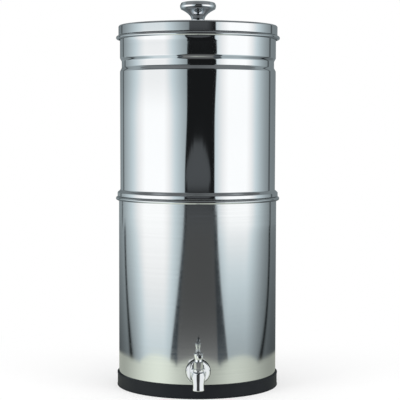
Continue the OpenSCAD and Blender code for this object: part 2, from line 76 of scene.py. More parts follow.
def ease(low, high, steps=16):
    """Points on a soft S-shaped slope between two points, upright at both ends."""
    share = np.linspace(0, 1, steps + 1)
    swing = (1 - np.cos(math.pi * share)) / 2
    return [(low[0] + (high[0] - low[0]) * s, low[1] + (high[1] - low[1]) * u)
            for s, u in zip(swing, share)]


def quarter(centre, wide, high, steps=16):
    """Points on a quarter of an ellipse about centre, from its side up to its top."""
    return [(centre[0] + wide * math.cos(a), centre[1] + high * math.sin(a))
            for a in np.radians(np.linspace(0, 90, steps + 1))]


def run(low, high, steps):
    """Points on a straight line."""
    return [(low[0] + (high[0] - low[0]) * u, low[1] + (high[1] - low[1]) * u)
            for u in np.linspace(0, 1, steps + 1)]


# ---- meshes ----

def add_piece(name, vertices, faces):
    mesh = bpy.data.meshes.new(name)
    mesh.from_pydata(vertices, [], faces)
    mesh.update()
    piece = bpy.data.objects.new(name, mesh)
    bpy.context.scene.collection.objects.link(piece)
    return piece


def face_out(piece):
    """Turns every face's front outwards."""
    made = bmesh.new()
    made.from_mesh(piece.data)
    bmesh.ops.recalc_face_normals(made, faces=made.faces)
    made.to_mesh(piece.data)
    made.free()
    return piece


def lathe(name, outline, steps=TURN, shape=None):
    """A closed turning of an outline about Z. shape(radius, height, angle) may change a ring's radius."""
    touching = 1e-7             # points and radii closer than this are one point, or on the axis
    points = [p for i, p in enumerate(outline) if math.dist(p, outline[i - 1]) > touching]
    closed = not (points[0][0] < touching and points[-1][0] < touching)
    vertices, rings = [], []
    angles = [2 * math.pi * k / steps for k in range(steps)]
    for radius, height in points:
        first = len(vertices)
        if radius < touching:
            vertices.append((0, 0, height))
            rings.append([first] * steps)
            continue
        for angle in angles:
            r = shape(radius, height, angle) if shape else radius
            vertices.append((r * math.cos(angle), r * math.sin(angle), height))
        rings.append(list(range(first, first + steps)))
    faces = []
    for i in range(len(rings) if closed else len(rings) - 1):
        low, high = rings[i], rings[(i + 1) % len(rings)]
        for k in range(steps):
            corner = [low[k], low[(k + 1) % steps], high[(k + 1) % steps], high[k]]
            corner = list(dict.fromkeys(corner))
            if len(corner) > 2:
                faces.append(corner)
    return face_out(add_piece(name, vertices, faces))


def prism(name, outline, thick):
    """An outline in the X-Z plane, drawn out by thick about Y = 0."""
    count = len(outline)
    vertices = [(x, y, z) for y in (-thick / 2, thick / 2) for x, z in outline]
    sides = [(k, (k + 1) % count, count + (k + 1) % count, count + k) for k in range(count)]
    ends = [tuple(range(count)), tuple(range(count, 2 * count))]
    return face_out(add_piece(name, vertices, sides + ends))


def moved(piece, matrix):
    piece.data.transform(matrix)
    return piece


def rod(name, radius, start, end, steps=FINE):
    """A plain cylinder from point start to point end."""
    start, end = Vector(start), Vector(end)
    length = (end - start).length
    piece = lathe(name, [(0, 0), (radius, 0), (radius, length), (0, length)], steps)
    turn = (end - start).to_track_quat("Z", "Y").to_matrix().to_4x4()
    return moved(piece, Matrix.Translation(start) @ turn)


def combine(piece, tool, operation):
    """Cuts tool out of piece or joins it on, for good, and removes tool."""
    step = piece.modifiers.new("combine", "BOOLEAN")
    step.operation = operation
    step.solver = "EXACT"
    step.object = tool
    bpy.context.view_layer.update()
    result = bpy.data.meshes.new_from_object(piece.evaluated_get(bpy.context.evaluated_depsgraph_get()))
    piece.modifiers.remove(step)
    piece.data = result
    bpy.data.objects.remove(tool)


def cut(piece, tool):
    combine(piece, tool, "DIFFERENCE")


def join(piece, tool):
    combine(piece, tool, "UNION")


def smooth(piece, angle=32, bevel=None):
    """Shades a piece smooth up to that angle, keeps large faces' normals true, and may soften edges."""
    if bevel:
        soft = piece.modifiers.new("soft_edges", "BEVEL")
        soft.width = bevel
        soft.segments = 2
        soft.limit_method = "ANGLE"
        soft.angle_limit = math.radians(angle)
    piece.data.shade_smooth()
    piece.data.set_sharp_from_angle(angle=math.radians(angle))
    normals = piece.modifiers.new("true_normals", "WEIGHTED_NORMAL")
    normals.keep_sharp = True
    return piece


# ---- materials ----

def ranged(nodes, links, value, *limits):
    """Maps value from the range of the first two limits to that of the last two."""
    node = nodes.new("ShaderNodeMapRange")
    links.new(value, node.inputs["Value"])
    for name, limit in zip(("From Min", "From Max", "To Min", "To Max"), limits):
        node.inputs[name].default_value = limit
    return node


class Finish:
    """A node material with one Principled shader, and the few nodes that its patterns are made of."""

    def __init__(self, name, colour, metallic=0.0, roughness=0.5, specular=0.5):
        self.material = bpy.data.materials.new(name)
        self.material.use_nodes = True
        self.nodes = self.material.node_tree.nodes
        self.links = self.material.node_tree.links
        self.shader = self.nodes["Principled BSDF"]
        self.shader.inputs["Base Color"].default_value = (*colour, 1)
        self.shader.inputs["Metallic"].default_value = metallic
        self.shader.inputs["Roughness"].default_value = roughness
        self.shader.inputs["Specular IOR Level"].default_value = specular
        self.colour, self.roughness = colour, roughness
        coordinates = self.nodes.new("ShaderNodeTexCoord").outputs
        self.place, self.normal = coordinates["Object"], coordinates["Normal"]
        self.height = None

    def math(self, operation, a, b=None):
        node = self.nodes.new("ShaderNodeMath")
        node.operation = operation
        for socket, value in zip(node.inputs, (a, b)):
            if value is None:
                continue
            if isinstance(value, (int, float)):
                socket.default_value = value
            else:
                self.links.new(value, socket)
        return node.outputs[0]

    def vector_math(self, operation, a, b=None):
        node = self.nodes.new("ShaderNodeVectorMath")
        node.operation = operation
        self.links.new(a, node.inputs[0])
        if isinstance(b, tuple):
            node.inputs[1].default_value = b
        elif b:
            self.links.new(b, node.inputs[1])
        return node.outputs["Value" if operation in ("LENGTH", "DOT_PRODUCT") else "Vector"]

    def noise(self, scale, detail=3.0, place=None):
        """A noise of about scale waves to the metre."""
        texture = self.nodes.new("ShaderNodeTexNoise")
        texture.inputs["Scale"].default_value = scale
        texture.inputs["Detail"].default_value = detail
        self.links.new(place or self.place, texture.inputs["Vector"])
        return texture.outputs["Fac"]

    def turned(self, drift=4.0):
        """Coordinates in which a noise becomes fine lines that run round the Z axis. Along each line they
        change by drift thousandths of the way gone."""
        slant = 0.7                 # so that no two sides are alike
        split = self.nodes.new("ShaderNodeSeparateXYZ")
        self.links.new(self.place, split.inputs[0])
        x, y, z = split.outputs
        squares = self.math("ADD", self.math("MULTIPLY", x, x), self.math("MULTIPLY", y, y))
        join = self.nodes.new("ShaderNodeCombineXYZ")
        self.links.new(self.math("SQRT", squares), join.inputs[0])
        self.links.new(z, join.inputs[1])
        across = self.math("ADD", x, self.math("MULTIPLY", y, slant))
        self.links.new(self.math("MULTIPLY", across, drift / 1000), join.inputs[2])
        return join.outputs[0]

    def spread(self, value, low, high):
        """Maps a noise, which is mostly between a quarter and three quarters, to the range low to high."""
        return ranged(self.nodes, self.links, value, 0.25, 0.75, low, high).outputs["Result"]

    def vary_roughness(self, value, by):
        self.links.new(self.spread(value, self.roughness - by, self.roughness + by),
                       self.shader.inputs["Roughness"])

    def dull_inside(self, floor_r, rougher=0.3, less_metal=0.5):
        """Leaves a vessel's inside, and its floor within floor_r of the Z axis, satin and not polished."""
        inward = -0.3               # a face whose normal points outwards by less than this is inside
        across = self.vector_math("MULTIPLY", self.place, (1, 1, 0))
        outward = self.vector_math("DOT_PRODUCT", self.normal, self.vector_math("NORMALIZE", across))
        on_floor = self.math("LESS_THAN", self.vector_math("LENGTH", across), floor_r)
        inside = self.math("MAXIMUM", self.math("LESS_THAN", outward, inward), on_floor)
        roughness = self.shader.inputs["Roughness"]
        polished = roughness.links[0].from_socket
        self.links.new(self.math("ADD", polished, self.math("MULTIPLY", inside, rougher)), roughness)
        metal = self.math("SUBTRACT", 1, self.math("MULTIPLY", inside, less_metal))
        self.links.new(metal, self.shader.inputs["Metallic"])

    def vary_colour(self, value, other):
        """Mixes towards another colour where value is high."""
        mix = self.nodes.new("ShaderNodeMix")
        mix.data_type = "RGBA"
        self.links.new(self.spread(value, 0, 1), mix.inputs["Factor"])
        mix.inputs["A"].default_value = (*self.colour, 1)
        mix.inputs["B"].default_value = (*other, 1)
        self.links.new(mix.outputs["Result"], self.shader.inputs["Base Color"])

    def relief(self, value, depth, strength):
        """Bump of that depth in metres."""
        bump = self.nodes.new("ShaderNodeBump")
        bump.inputs["Distance"].default_value = depth
        bump.inputs["Strength"].default_value = strength
        self.links.new(value, bump.inputs["Height"])
        if self.height:
            self.links.new(self.height, bump.inputs["Normal"])
        self.height = bump.outputs[0]
        self.links.new(self.height, self.shader.inputs["Normal"])


def shaded(colour, share):
    return tuple(c * share for c in colour)


def polished_steel():
    finish = Finish("polished_steel", (0.75, 0.765, 0.775), metallic=1, roughness=0.05)
    finish.vary_roughness(finish.noise(14, detail=4), 0.015)
    finish.vary_colour(finish.noise(9, detail=4), shaded(finish.colour, 0.975))
    finish.relief(finish.noise(22, detail=1), 0.00004, 0.5)
    finish.relief(finish.noise(900, detail=2, place=finish.turned()), 0.000003, 0.4)
    return finish.material


CHAMBER_FLOOR_R = 0.1        # within this distance of the axis, the lower chamber's steel is its floor


def brushed_steel():
    finish = Finish("brushed_steel", (0.745, 0.76, 0.765), metallic=1, roughness=0.095)
    lines = finish.noise(1100, detail=3, place=finish.turned())
    streaks = finish.noise(420, detail=2, place=finish.turned(12.0))
    finish.vary_roughness(streaks, 0.03)
    finish.dull_inside(CHAMBER_FLOOR_R)
    finish.vary_colour(streaks, shaded(finish.colour, 0.97))
    finish.relief(finish.noise(22, detail=1), 0.00004, 0.5)
    finish.relief(lines, 0.000008, 0.4)
    return finish.material


def plain_steel():
    finish = Finish("plain_steel", (0.60, 0.61, 0.62), metallic=1, roughness=0.3)
    finish.vary_roughness(finish.noise(160), 0.06)
    finish.vary_colour(finish.noise(60), shaded(finish.colour, 0.9))
    finish.relief(finish.noise(2200, place=finish.turned()), 0.000008, 0.6)
    return finish.material


def chrome():
    finish = Finish("chrome", (0.85, 0.86, 0.88), metallic=1, roughness=0.035)
    finish.vary_roughness(finish.noise(60, detail=4), 0.012)
    finish.vary_colour(finish.noise(40), shaded(finish.colour, 0.975))
    finish.relief(finish.noise(140, detail=1), 0.00002, 0.3)
    return finish.material


def black_rubber():
    finish = Finish("black_rubber", (0.007, 0.009, 0.013), roughness=0.5, specular=0.22)
    finish.vary_roughness(finish.noise(30, detail=5), 0.06)
    finish.vary_colour(finish.noise(45, detail=5), (0.010, 0.012, 0.016))
    finish.relief(finish.noise(1500, detail=2), 0.00003, 0.35)
    return finish.material


def seal_rubber():
    finish = Finish("seal_rubber", (0.014, 0.014, 0.015), roughness=0.6, specular=0.3)
    finish.vary_colour(finish.noise(120), (0.022, 0.022, 0.022))
    finish.relief(finish.noise(1800, detail=2), 0.00003, 0.4)
    return finish.material


def ceramic():
    finish = Finish("ceramic", (0.86, 0.83, 0.76), roughness=0.78)
    finish.vary_colour(finish.noise(50, detail=6), (0.90, 0.88, 0.83))
    finish.relief(finish.noise(900, detail=5), 0.00006, 0.5)
    finish.relief(finish.noise(260, place=finish.turned()), 0.00004, 0.4)
    return finish.material


def carbon():
    finish = Finish("carbon", (0.035, 0.035, 0.036), roughness=0.85)
    finish.vary_colour(finish.noise(700, detail=4), (0.07, 0.07, 0.072))
    finish.relief(finish.noise(900, detail=5), 0.0002, 0.7)
    return finish.material


def white_plastic():
    finish = Finish("white_plastic", (0.83, 0.83, 0.80), roughness=0.38)
    finish.vary_roughness(finish.noise(80, detail=4), 0.05)
    finish.vary_colour(finish.noise(30), (0.86, 0.86, 0.845))
    finish.relief(finish.noise(1400, detail=2), 0.00002, 0.3)
    return finish.material


def packing():
    finish = Finish("packing", (0.86, 0.86, 0.86), roughness=0.3)
    finish.vary_colour(finish.noise(300), (0.9, 0.9, 0.9))
    return finish.material


FINISHES = {maker.__name__: maker() for maker in (
    polished_steel, brushed_steel, plain_steel, chrome, black_rubber, seal_rubber, ceramic, carbon,
    white_plastic, packing)}


def paint(piece, finish):
    piece.data.materials.clear()
    piece.data.materials.append(FINISHES[finish])


def stand_for(piece, node, body, finish):
    """piece takes the place of a CAD node on its body."""
    paint(piece, finish)
    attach(piece, body)
    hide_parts(node)


# ---- chambers ----

SHEET = 1.0 * MM
ROLL_R = 2.6 * MM           # radius of the rolled rims' section
CURL_END = -110             # angle at which a rolled edge stops, in degrees
SEAT_GAP = 0.3 * MM         # between a rim and what rests on it
FOOT_ROUND = 6.0 * MM
FOOT_W = 9.0 * MM           # flat foot ring of the lower chamber
FLOOR_RISE = 5.0 * MM
RIM_FLARE = 1.1 * MM        # how far the upper chamber flares just under its rim
FLARE_DOWN = 2.2 * MM       # from the rolled rim's middle down to where the flare starts
TAPER = 0.4 * MM            # how much wider the upper chamber is at its rim than at the bead
NEST_GAP = 1.4 * MM         # between the upper chamber's foot and the lower chamber
BEAD_H = 10.2 * MM
BEAD_OUT = 3.9 * MM
BEAD_SIDE = 5.0 * MM        # height of the bead's slope
BEAD_SOFT = 1.0 * MM
WALL_RINGS = np.linspace(20, 60, 5) * MM    # rings on the lower chamber's wall, round the tap's hole
GROOVE_DOWN = 39.4 * MM     # from the upper rim to the middle of the groove band
GROOVE_FLAT = 6.8 * MM
GROOVE_SIDE = 6.5 * MM
GROOVE_DEEP = 2.4 * MM
HOLE_R = 8.2 * MM           # of what the tap's shank passes through
STEM_X = 50.0 * MM          # distance of the filter stems from the chambers' axis
STEM_R = 5.9 * MM
STEM_HOLE_R = 6.5 * MM

low_lo, low_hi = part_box("lower_chamber")
up_lo, up_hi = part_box("upper_chamber")
lid_lo, lid_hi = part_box("lid")
knob_lo, knob_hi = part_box("lid_knob")
ring_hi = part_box("base_ring")[1]
flange_lo, flange_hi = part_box("tap_escutcheon")

tap_z = (flange_lo.z + flange_hi.z) / 2
lower_in = low_hi.x - 2 * ROLL_R
lower_r = lower_in + SHEET
upper_r = up_hi.x - 2 * ROLL_R - RIM_FLARE + SHEET
upper_low_r = upper_r - TAPER           # at the bead


def curl(centre):
    """A rolled rim: its outside from the wall over the top to the edge, and back inside."""
    return (arc(centre, ROLL_R, 180, CURL_END, 48)
            + arc(centre, ROLL_R - SHEET, CURL_END, 180, 48))


def lower_outline():
    floor = low_lo.z
    foot = (lower_r - FOOT_ROUND, floor + FOOT_ROUND)
    ring_in = lower_r - FOOT_ROUND - FOOT_W
    rise_in = ring_in - FLOOR_RISE
    slope = 0.4 * MM
    return ([(0, floor + FLOOR_RISE), (rise_in, floor + FLOOR_RISE), (ring_in, floor)]
            + arc(foot, FOOT_ROUND, -90, 0, 16)
            + [(lower_r, z) for z in WALL_RINGS]
            + curl((low_hi.x - ROLL_R, low_hi.z - ROLL_R))[::-1]
            + [(lower_in, z) for z in WALL_RINGS[::-1]]
            + arc(foot, FOOT_ROUND - SHEET, 0, -90, 16)
            + [(ring_in - slope, floor + SHEET), (rise_in - slope, floor + FLOOR_RISE + SHEET),
               (0, floor + FLOOR_RISE + SHEET)])


def make_lower_chamber():
    piece = lathe("lower_shell", lower_outline())
    past = 10 * MM
    cut(piece, rod("tap_hole", HOLE_R, (0, -lower_r + past, tap_z), (0, -lower_r - past, tap_z)))
    stand_for(smooth(piece), "lower_chamber", "lower", "brushed_steel")


def upper_wall(inset):
    """Outer face of the upper chamber's wall with its groove band, upwards, moved in by inset."""
    bead_top = low_hi.z + SEAT_GAP + BEAD_H
    flare_z = up_hi.z - ROLL_R - FLARE_DOWN
    middle = up_hi.z - GROOVE_DOWN
    low, high = middle - GROOVE_FLAT / 2, middle + GROOVE_FLAT / 2

    def wall(z):
        return upper_low_r + TAPER * (z - bead_top) / (flare_z - bead_top) - inset

    below = (wall(low - GROOVE_SIDE), low - GROOVE_SIDE)
    above = (wall(high + GROOVE_SIDE), high + GROOVE_SIDE)
    return (run((upper_low_r - inset, bead_top), below, 8)[1:-1]
            + ease(below, (wall(low) - GROOVE_DEEP, low))
            + run((wall(low) - GROOVE_DEEP, low), (wall(high) - GROOVE_DEEP, high), 3)[1:-1]
            + ease((wall(high) - GROOVE_DEEP, high), above)
            + run(above, (upper_r - inset, flare_z), 3)[1:])


def upper_outline():
    floor = up_lo.z
    nest_r = lower_in - NEST_GAP
    bead_z = low_hi.z + SEAT_GAP
    bead_top = bead_z + BEAD_H
    bead_r = upper_low_r + BEAD_OUT
    nest = (nest_r - FOOT_ROUND, floor + FOOT_ROUND)
    half = SHEET / 2
    inside = (
        [(0, floor + SHEET)] + arc(nest, FOOT_ROUND - SHEET, -90, 0, 16)
        + arc((nest_r - SHEET + half, bead_z + half), half, 180, 90, 6)
        + arc((bead_r - SHEET - half, bead_z + SHEET + half), half, -90, 0, 6)
        + ease((bead_r - SHEET, bead_top - BEAD_SIDE), (upper_low_r - SHEET, bead_top))
        + upper_wall(SHEET))
    outside = (
        arc(nest, FOOT_ROUND, -90, 0, 16)
        + arc((nest_r + BEAD_SOFT, bead_z - BEAD_SOFT), BEAD_SOFT, 180, 90, 8)
        + arc((bead_r - BEAD_SOFT, bead_z + BEAD_SOFT), BEAD_SOFT, -90, 0, 12)
        + ease((bead_r, bead_top - BEAD_SIDE - half), (upper_low_r, bead_top - half))
        + upper_wall(0))
    rim = curl((up_hi.x - ROLL_R, up_hi.z - ROLL_R))
    return inside + rim + outside[::-1] + [(0, floor)]


def make_upper_chamber():
    piece = lathe("upper_shell", upper_outline())
    for side in (-1, 1):
        x = side * STEM_X
        cut(piece, rod("stem_hole", STEM_HOLE_R, (x, 0, up_lo.z - SHEET), (x, 0, up_lo.z + 2 * SHEET)))
    stand_for(smooth(piece), "upper_chamber", "upper", "polished_steel")


# ---- lid ----

LID_SHEET = 0.8 * MM
LID_ROUND = 2.4 * MM
LID_HEM = 1.0 * MM
SKIRT_H = 9.0 * MM
SKIRT_GAP = 0.7 * MM
CROWN_H = 1.8 * MM          # height of the raised middle
BORDER_W = 19.0 * MM        # flat border round it
CROWN_STEP = 4.0 * MM
SCREW_HOLE_R = 2.7 * MM


def lid_outline():
    crown, top = lid_hi.z, lid_hi.z - CROWN_H
    step_z = lid_lo.z + SKIRT_H
    side_r = lid_hi.x
    panel_r = side_r - BORDER_W
    skirt_r = upper_r - SHEET - SKIRT_GAP
    edge = (side_r - LID_ROUND, top - LID_ROUND)
    inner = step_z + LID_SHEET
    corner = 0.3 * MM

    def soft_slope(lower):
        slope = []
        for u in np.linspace(0, 1, 13):
            drop = (1 - math.cos(math.pi * u)) / 2
            r = panel_r - CROWN_STEP * (1 - u) - (corner if lower else 0)
            slope.append((r, crown - CROWN_H * drop - lower))
        return slope

    return ([(SCREW_HOLE_R, crown)] + soft_slope(0)
            + arc(edge, LID_ROUND, 90, 0)
            + arc((side_r - LID_HEM, step_z + LID_HEM), LID_HEM, 0, -90)
            + arc((skirt_r + corner, step_z - corner), corner, 90, 180, 4)
            + arc((skirt_r - LID_SHEET / 2, lid_lo.z + LID_SHEET / 2), LID_SHEET / 2, 0, -180, 8)
            + [(skirt_r - LID_SHEET, inner), (side_r - LID_SHEET - corner, inner),
               (side_r - LID_SHEET, inner + corner)]
            + arc(edge, LID_ROUND - LID_SHEET, 0, 90)
            + soft_slope(LID_SHEET)[::-1] + [(SCREW_HOLE_R, crown - LID_SHEET)])


def make_lid():
    stand_for(smooth(lathe("lid_shell", lid_outline())), "lid", "lid", "polished_steel")


KNOB_LOW = 0.961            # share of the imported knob's height, as its dome shows in the photograph


def knob_outline():
    height, reach = KNOB_LOW * (knob_hi.z - knob_lo.z), knob_hi.x
    foot_r, neck_r = 10.5 * MM, 8.8 * MM
    foot_h, flare_top, wide = 0.16 * height, 0.63 * height, 0.81 * height
    under_r, dome_r, dome_z = 0.9 * reach, 0.95 * reach, 0.9 * height
    flare_power = 2.2
    foot = [(foot_r - (foot_r - neck_r) * math.sin(a), foot_h * (1 - math.cos(a)))
            for a in np.radians(np.linspace(0, 90, 13))]
    flare = [(neck_r + (under_r - neck_r) * u ** flare_power, foot_h + (flare_top - foot_h) * u)
             for u in np.linspace(0, 1, 41)]
    edge = [(under_r + (reach - under_r) * math.sin(a), wide - (wide - flare_top) * math.cos(a))
            for a in np.radians(np.linspace(0, 90, 17))]
    shoulder = quarter((0, dome_z), dome_r, height - dome_z, 32)
    bore_r, bore_h = 2.6 * MM, 10 * MM
    return [(r, knob_lo.z + z) for r, z in
            [(0, bore_h), (bore_r, bore_h), (bore_r, 0)] + foot + flare + edge + shoulder]


def make_knob():
    stand_for(smooth(lathe("knob", knob_outline(), 192), 40), "lid_knob", "lid", "chrome")


# ---- rubber ring ----

RING_UNDER = 3.5 * MM
RING_LIP = 0.4 * MM
RING_LIP_H = 1.6 * MM


def make_base_ring():
    lip, top = ring_hi.x, ring_hi.z
    wall = lip - RING_LIP
    inner = lower_r + 0.05 * MM
    hole = lower_r - FOOT_ROUND - FOOT_W - 1 * MM
    soft = 0.5 * MM
    outline = (
        [(hole, 0)] + arc((lip - soft, soft), soft, -90, 0, 6)
        + ease((lip, RING_LIP_H), (wall, RING_LIP_H + RING_LIP), 6)
        + run((wall, RING_LIP_H + RING_LIP), (wall, top - RING_LIP_H - RING_LIP), 6)[1:-1]
        + ease((wall, top - RING_LIP_H - RING_LIP), (lip, top - RING_LIP_H), 6)
        + arc((lip - soft, top - soft), soft, 0, 90, 6) + [(inner, top)]
        + arc((inner - FOOT_ROUND, RING_UNDER + FOOT_ROUND), FOOT_ROUND, 0, -90, 16)
        + [(hole, RING_UNDER)])
    stand_for(smooth(lathe("rubber_ring", outline)), "base_ring", "lower", "black_rubber")


# ---- filter elements ----

CANDLE_R = 25.0 * MM
CANDLE_H = 172.0 * MM
CANDLE_WALL = 7.0 * MM
THREAD_PITCH = 2.0 * MM
THREAD_DEEP = 0.7 * MM
THREAD_STEPS = 10           # rings to one turn of a thread


def dome(radius, height):
    return arc((0, height - radius), radius, 0, 90, 24)


def make_candle(side, x):
    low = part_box(f"ceramic_candle_{side}")[0].z
    wall = CANDLE_WALL
    chamfer = 0.5 * MM
    outline = ([(CANDLE_R - wall, 0), (CANDLE_R - chamfer, 0), (CANDLE_R, chamfer)]
               + dome(CANDLE_R, CANDLE_H) + dome(CANDLE_R - wall, CANDLE_H - wall)[::-1])
    piece = moved(lathe(f"candle_{side}", outline, 144), Matrix.Translation((x, 0, low)))
    stand_for(smooth(piece), f"ceramic_candle_{side}", "upper", "ceramic")


def threaded(radius, height, angle):
    """Radius of a right-handed thread's ridge and valley."""
    turn = height / THREAD_PITCH - angle / (2 * math.pi)
    return radius - THREAD_DEEP * (0.5 - 0.5 * math.cos(2 * math.pi * turn))


def make_candle_base(side, x):
    low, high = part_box(f"candle_base_{side}")
    cup_r, cup_h, cup_floor = high.x - x, 12 * MM, 4 * MM
    cup_in = CANDLE_R + 0.3 * MM
    foot, lip, bore = 1.5 * MM, 1.0 * MM, 2.5 * MM
    cup_z = high.z - cup_h
    smooth_to = low.z + 26 * MM                     # the thread ends under the chamber's floor
    rings = int((smooth_to - low.z) / THREAD_PITCH * THREAD_STEPS)
    chamfer = 1.2 * MM
    stem = [(STEM_R, low.z + chamfer + (smooth_to - low.z - chamfer) * k / rings) for k in range(rings + 1)]
    outline = (
        [(bore, low.z), (STEM_R - THREAD_DEEP - 0.4 * MM, low.z)] + stem
        + [(STEM_R - 0.01 * MM, cup_z)]
        + arc((cup_r - foot, cup_z + foot), foot, -90, 0, 8)
        + arc((cup_r - lip, high.z - lip), lip, 0, 90, 8)
        + [(cup_in, high.z), (cup_in, cup_z + cup_floor), (bore, cup_z + cup_floor)])

    def shape(radius, height, angle):
        on_stem = radius == STEM_R and height < smooth_to
        return threaded(radius, height, angle) if on_stem else radius

    piece = moved(lathe(f"base_{side}", outline, FINE, shape), Matrix.Translation((x, 0, 0)))
    stand_for(smooth(piece, 40), f"candle_base_{side}", "upper", "white_plastic")


def make_wing_nut(side, x):
    low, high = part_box(f"wing_nut_{side}")
    hub_r, height, ear, thick = 9.5 * MM, 12 * MM, 4 * MM, 4 * MM
    reach = high.x - x
    base = high.z - height
    soft = 1.2 * MM
    hole_r = STEM_R + 0.1 * MM
    wing_in, wing_low, wing_top = hole_r + 1 * MM, base + 2 * MM, base + 0.55 * height + 2 * MM
    hub = ([(hole_r, base)] + arc((hub_r - soft, base + soft), soft, -90, 0, 6)
           + arc((hub_r - soft, high.z - soft), soft, 0, 90, 6) + [(hole_r, high.z)])
    piece = lathe(f"wings_{side}", hub, FINE)
    for way in (-1, 1):
        wing = ([(wing_in, wing_low), (reach - ear, low.z)]
                + arc((reach - ear, low.z + ear), ear, -90, 90, 16)
                + [(hub_r, wing_top), (wing_in, wing_top)])
        join(piece, prism("wing", [(way * a, z) for a, z in wing], thick))
    moved(piece, Matrix.Translation((x, 0, 0)))
    stand_for(smooth(piece, bevel=0.4 * MM), f"wing_nut_{side}", "upper", "white_plastic")


# ---- tap ----

body_lo, body_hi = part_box("tap_body")
bonnet_lo, bonnet_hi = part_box("tap_bonnet")
hub_lo, hub_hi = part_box("lever_hub")

spout_y = (bonnet_lo.y + bonnet_hi.y) / 2
to_front = Matrix.Translation((0, 0, tap_z)) @ Matrix.Rotation(math.radians(90), 4, "X")
to_plug = Matrix.Translation((0, spout_y, 0))
LEVER_SET = 3               # angle of the closed lever from straight ahead, in degrees
to_lever = to_plug @ Matrix.Rotation(math.radians(LEVER_SET), 4, "Z")
BARREL_R = 10.5 * MM
BARREL_L = 9.0 * MM
ELBOW_R = 9.2 * MM
PLUG_R = 4.8 * MM
DRIVE = 4.4 * MM            # side of the stem's square
LEVER_UP = 7.0 * MM         # height of the lever above the hub's foot
LEVER_RISE = 8.5            # the lever points up by this angle, in degrees
LEVER_ROOT_R = 2.6 * MM
lever_tilt = Matrix.Rotation(math.radians(90 - LEVER_RISE), 4, "X")
to_arm = Matrix.Translation((0, 0, hub_lo.z + LEVER_UP)) @ lever_tilt


def make_tap_body():
    shank_in, shank_r = -body_hi.y, 7.9 * MM
    barrel_out = -flange_lo.y
    spout_out = -spout_y
    chamfer, corner, slope = 0.8 * MM, 0.6 * MM, 5 * MM
    nose, nose_angle = spout_out - 1.4 * MM, 84
    shank = ([(0, shank_in), (shank_r - chamfer, shank_in), (shank_r, shank_in + chamfer)]
             + [(shank_r, barrel_out)]
             + arc((BARREL_R - corner, barrel_out + corner), corner, -90, 0, 6)
             + ease((BARREL_R, barrel_out + BARREL_L), (ELBOW_R, barrel_out + BARREL_L + slope), 12)
             + arc((0, nose), ELBOW_R, 0, nose_angle, 32)
             + [(0, nose + ELBOW_R * math.sin(math.radians(nose_angle)))])
    piece = moved(lathe("tap_casting", shank, 144), to_front)

    outlet, top = body_lo.z, body_hi.z
    end_r, waist_r, root_r, neck_r = 7.5 * MM, 7.25 * MM, 8.1 * MM, 6.5 * MM
    shoulder, shoulder_h = tap_z + 2.5 * MM, 4.5 * MM
    lip, soft = 1.0 * MM, 0.6 * MM
    bore, plug_bore, spigot_bore = 4.2 * MM, PLUG_R + 0.08 * MM, PLUG_R + 0.3 * MM
    seat, spigot_z = tap_z - 9 * MM, bonnet_lo.z
    spout = ([(0, outlet), (bore, outlet)]
             + arc((end_r - lip, outlet + lip), lip, -90, 0, 12)
             + ease((end_r, outlet + 2 * MM), (waist_r, outlet + 6 * MM), 12)
             + ease((waist_r, outlet + 6.5 * MM), (root_r, tap_z - 2 * MM), 12)
             + quarter((neck_r, shoulder), root_r - neck_r, shoulder_h)
             + arc((neck_r - soft, top - soft), soft, 0, 90, 6)
             + [(0, top)])
    join(piece, moved(lathe("spout", spout, 144), to_plug))
    way_r = 3.8 * MM
    way = [(0, shank_in - MM), (way_r, shank_in - MM), (way_r, spout_out), (0, spout_out)]
    cut(piece, moved(lathe("way", way, FINE), to_front))
    bores = [(0, outlet - MM), (bore, outlet - MM), (bore, seat), (plug_bore, seat), (plug_bore, spigot_z),
             (spigot_bore, spigot_z), (spigot_bore, top + MM), (0, top + MM)]
    cut(piece, moved(lathe("bores", bores, FINE), to_plug))
    stand_for(smooth(piece), "tap_body", "lower", "chrome")


def make_flange():
    back, front = -flange_hi.y, -flange_lo.y
    reach = flange_hi.x
    soft, edge, face = 0.8 * MM, 1.4 * MM, front - 0.3 * MM
    outline = (
        [(HOLE_R, back)]
        + arc((reach - soft, back + soft), soft, -90, 0, 8)
        + arc((reach - edge, face - edge), edge, 0, 90, 12)
        + [(BARREL_R, face), (BARREL_R, front), (HOLE_R, front)])
    piece = moved(lathe("tap_flange", outline, 144), to_front)
    stand_for(smooth(piece), "tap_escutcheon", "lower", "chrome")


def make_bonnet():
    """The hexagon nut on the tap's neck, its top corners turned off."""
    reach, low, high = bonnet_hi.x, bonnet_lo.z, bonnet_hi.z
    neck_top = body_hi.z
    spigot_r, bore, chamfer = PLUG_R + 0.2 * MM, 3.2 * MM, 0.8 * MM
    flat = reach * math.cos(math.radians(30))
    outline = [(bore, low), (spigot_r, low), (spigot_r, neck_top), (reach - 0.4 * MM, neck_top),
               (reach, neck_top + 0.4 * MM), (reach, high - chamfer), (reach - chamfer, high), (bore, high)]

    def hexagon(radius, height, angle):
        turn = math.radians(math.degrees(angle) % 60 - 30)
        return min(radius, flat / math.cos(turn))

    piece = moved(lathe("bonnet_nut", outline, FINE, hexagon), to_plug)
    stand_for(smooth(piece, bevel=0.15 * MM), "tap_bonnet", "lower", "chrome")


